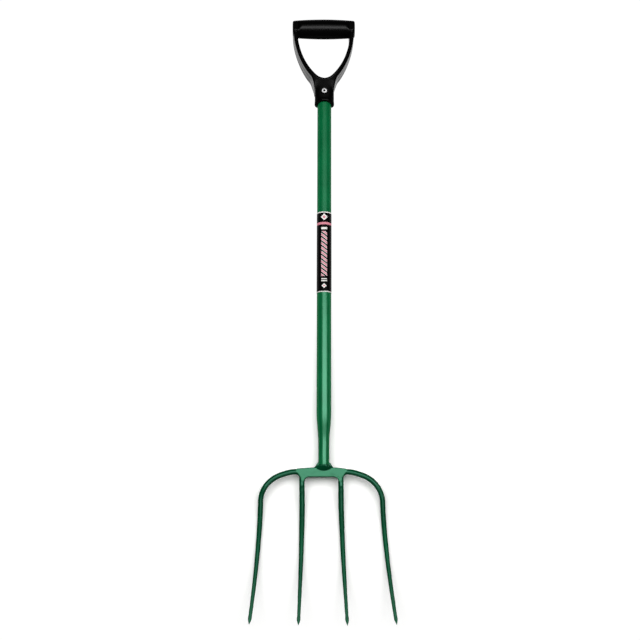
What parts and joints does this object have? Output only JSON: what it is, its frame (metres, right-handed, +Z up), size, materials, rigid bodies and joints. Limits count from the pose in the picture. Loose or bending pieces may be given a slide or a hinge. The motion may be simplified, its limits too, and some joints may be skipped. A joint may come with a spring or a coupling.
{
  "type": "manure fork",
  "caption": "Long handled fork with a forged head of curved round tines, a swaged tubular steel shaft, a printed sleeve and a riveted D-shaped plastic handle.",
  "frame": {"origin": "middle of the bounding box in X and Y, on the surface that the fork lies on", "axes": "+Y along the shaft towards the handle, +X across the tines, +Z up out of the fork's front face"},
  "size_m": [0.2736, 1.214, 0.0495],
  "materials": {
    "shaft_enamel": "glossy green enamel on steel tube",
    "head_enamel": "glossy green enamel on forged steel",
    "handle_plastic": "satin black moulded polypropylene",
    "label_film": "smooth printed film, black with plain coloured bands",
    "rivet_aluminium": "bright formed aluminium",
    "mandrel_steel": "broken steel wire end"
  },
  "bodies": {
    "root": {"shaft_tube": "shaft_enamel", "label_sleeve": "label_film", "d_handle": "handle_plastic", "rivet_body": "rivet_aluminium", "rivet_mandrel": "mandrel_steel", "crown": "head_enamel", "neck_weld": "head_enamel", "tine_outer_left": "head_enamel", "tine_inner_left": "head_enamel", "tine_inner_right": "head_enamel", "tine_outer_right": "head_enamel"}
  },
  "joints": []
}
